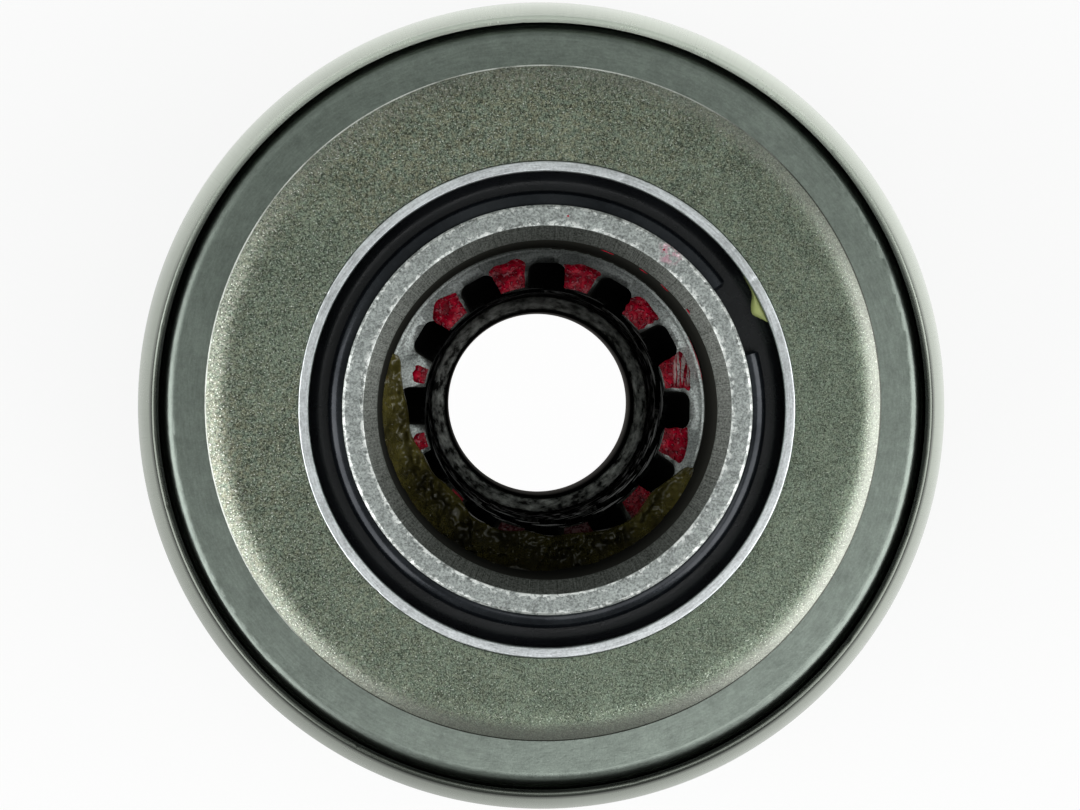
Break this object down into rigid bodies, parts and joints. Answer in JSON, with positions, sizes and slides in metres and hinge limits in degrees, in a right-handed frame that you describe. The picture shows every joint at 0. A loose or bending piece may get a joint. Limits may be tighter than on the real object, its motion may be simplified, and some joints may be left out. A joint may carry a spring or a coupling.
{
  "type": "starter drive",
  "caption": "Starter motor drive: pinion gear on an overrunning roller clutch with a helically splined sleeve, sprung shift collar and snap ring.",
  "frame": {"origin": "on the shaft's axis, in the plane of the pinion's front face", "axes": "+Z along the shaft's axis from the pinion to the splined end of the sleeve, +Y upwards in the picture"},
  "size_m": [0.0576, 0.0576, 0.058],
  "materials": {
    "drum_steel": "machined steel, slightly matt",
    "shell_steel": "drawn sheet steel, smooth",
    "gear_steel": "hardened gear steel with oil film",
    "bush_bronze": "sintered bronze, dark with oil",
    "plate_steel": "ground flat steel",
    "seal_rubber": "matt black rubber",
    "roller_steel": "ground bearing steel",
    "plunger_steel": "turned steel",
    "spring_steel": "blued spring steel",
    "collar_steel": "granular sintered steel, oiled",
    "cup_steel": "bright turned steel",
    "ring_wire": "dark drawn wire"
  },
  "bodies": {
    "clutch_body": {"drive_sleeve": "drum_steel", "clutch_shell": "shell_steel", "cover_plate": "plate_steel", "half_ring_1": "plate_steel", "half_ring_2": "plate_steel", "dust_seal": "seal_rubber", "snap_ring": "ring_wire", "meshing_spring": "spring_steel", "roller_spring_1": "spring_steel", "roller_spring_2": "spring_steel", "roller_spring_3": "spring_steel", "roller_spring_4": "spring_steel", "roller_spring_5": "spring_steel"},
    "pinion_body": {"pinion": "gear_steel", "pinion_bush": "bush_bronze"},
    "spring_seat": {"spring_washer": "plate_steel"},
    "collar_body": {"shift_collar": "collar_steel", "retainer_cup": "cup_steel"},
    "plunger_body_1": {"plunger_1": "plunger_steel"},
    "roller_body_1": {"roller_1": "roller_steel"},
    "plunger_body_2": {"plunger_2": "plunger_steel"},
    "roller_body_2": {"roller_2": "roller_steel"},
    "plunger_body_3": {"plunger_3": "plunger_steel"},
    "roller_body_3": {"roller_3": "roller_steel"},
    "plunger_body_4": {"plunger_4": "plunger_steel"},
    "roller_body_4": {"roller_4": "roller_steel"},
    "plunger_body_5": {"plunger_5": "plunger_steel"},
    "roller_body_5": {"roller_5": "roller_steel"}
  },
  "joints": [
    {"name": "pinion_spin", "type": "hinge", "parent": "clutch_body", "child": "pinion_body", "pos_m": [0, 0, 0], "axis": [0, 0, 1], "continuous": true},
    {"name": "collar_slide", "type": "slide", "parent": "clutch_body", "child": "spring_seat", "axis": [0, 0, -1], "range_m": [0, 0.0035], "stiffness_N_per_m": 6000, "springref_m": -0.003, "deforming": ["meshing_spring"]},
    {"name": "collar_spin", "type": "hinge", "parent": "spring_seat", "child": "collar_body", "pos_m": [0, 0, 0.05], "axis": [0, 0, 1], "continuous": true},
    {"name": "plunger_slide_1", "type": "slide", "parent": "clutch_body", "child": "plunger_body_1", "axis": [1, 0, 0], "range_m": [0, 0.0008], "stiffness_N_per_m": 1500, "springref_m": -0.002, "deforming": ["roller_spring_1"]},
    {"name": "roller_spin_1", "type": "hinge", "parent": "plunger_body_1", "child": "roller_body_1", "pos_m": [0, 0.01655, 0.0224], "axis": [0, 0, 1], "continuous": true},
    {"name": "plunger_slide_2", "type": "slide", "parent": "clutch_body", "child": "plunger_body_2", "axis": [0.309, -0.9511, 0], "range_m": [0, 0.0008], "stiffness_N_per_m": 1500, "springref_m": -0.002, "deforming": ["roller_spring_2"]},
    {"name": "roller_spin_2", "type": "hinge", "parent": "plunger_body_2", "child": "roller_body_2", "pos_m": [0.01574, 0.00511, 0.0224], "axis": [0, 0, 1], "continuous": true},
    {"name": "plunger_slide_3", "type": "slide", "parent": "clutch_body", "child": "plunger_body_3", "axis": [-0.809, -0.5878, 0], "range_m": [0, 0.0008], "stiffness_N_per_m": 1500, "springref_m": -0.002, "deforming": ["roller_spring_3"]},
    {"name": "roller_spin_3", "type": "hinge", "parent": "plunger_body_3", "child": "roller_body_3", "pos_m": [0.00973, -0.01339, 0.0224], "axis": [0, 0, 1], "continuous": true},
    {"name": "plunger_slide_4", "type": "slide", "parent": "clutch_body", "child": "plunger_body_4", "axis": [-0.809, 0.5878, 0], "range_m": [0, 0.0008], "stiffness_N_per_m": 1500, "springref_m": -0.002, "deforming": ["roller_spring_4"]},
    {"name": "roller_spin_4", "type": "hinge", "parent": "plunger_body_4", "child": "roller_body_4", "pos_m": [-0.00973, -0.01339, 0.0224], "axis": [0, 0, 1], "continuous": true},
    {"name": "plunger_slide_5", "type": "slide", "parent": "clutch_body", "child": "plunger_body_5", "axis": [0.309, 0.9511, 0], "range_m": [0, 0.0008], "stiffness_N_per_m": 1500, "springref_m": -0.002, "deforming": ["roller_spring_5"]},
    {"name": "roller_spin_5", "type": "hinge", "parent": "plunger_body_5", "child": "roller_body_5", "pos_m": [-0.01574, 0.00511, 0.0224], "axis": [0, 0, 1], "continuous": true}
  ],
  "couplings": [
    {"joint": "roller_spin_1", "follows": "pinion_spin", "ratio": -3.7143},
    {"joint": "roller_spin_2", "follows": "pinion_spin", "ratio": -3.7143},
    {"joint": "roller_spin_3", "follows": "pinion_spin", "ratio": -3.7143},
    {"joint": "roller_spin_4", "follows": "pinion_spin", "ratio": -3.7143},
    {"joint": "roller_spin_5", "follows": "pinion_spin", "ratio": -3.7143}
  ]
}
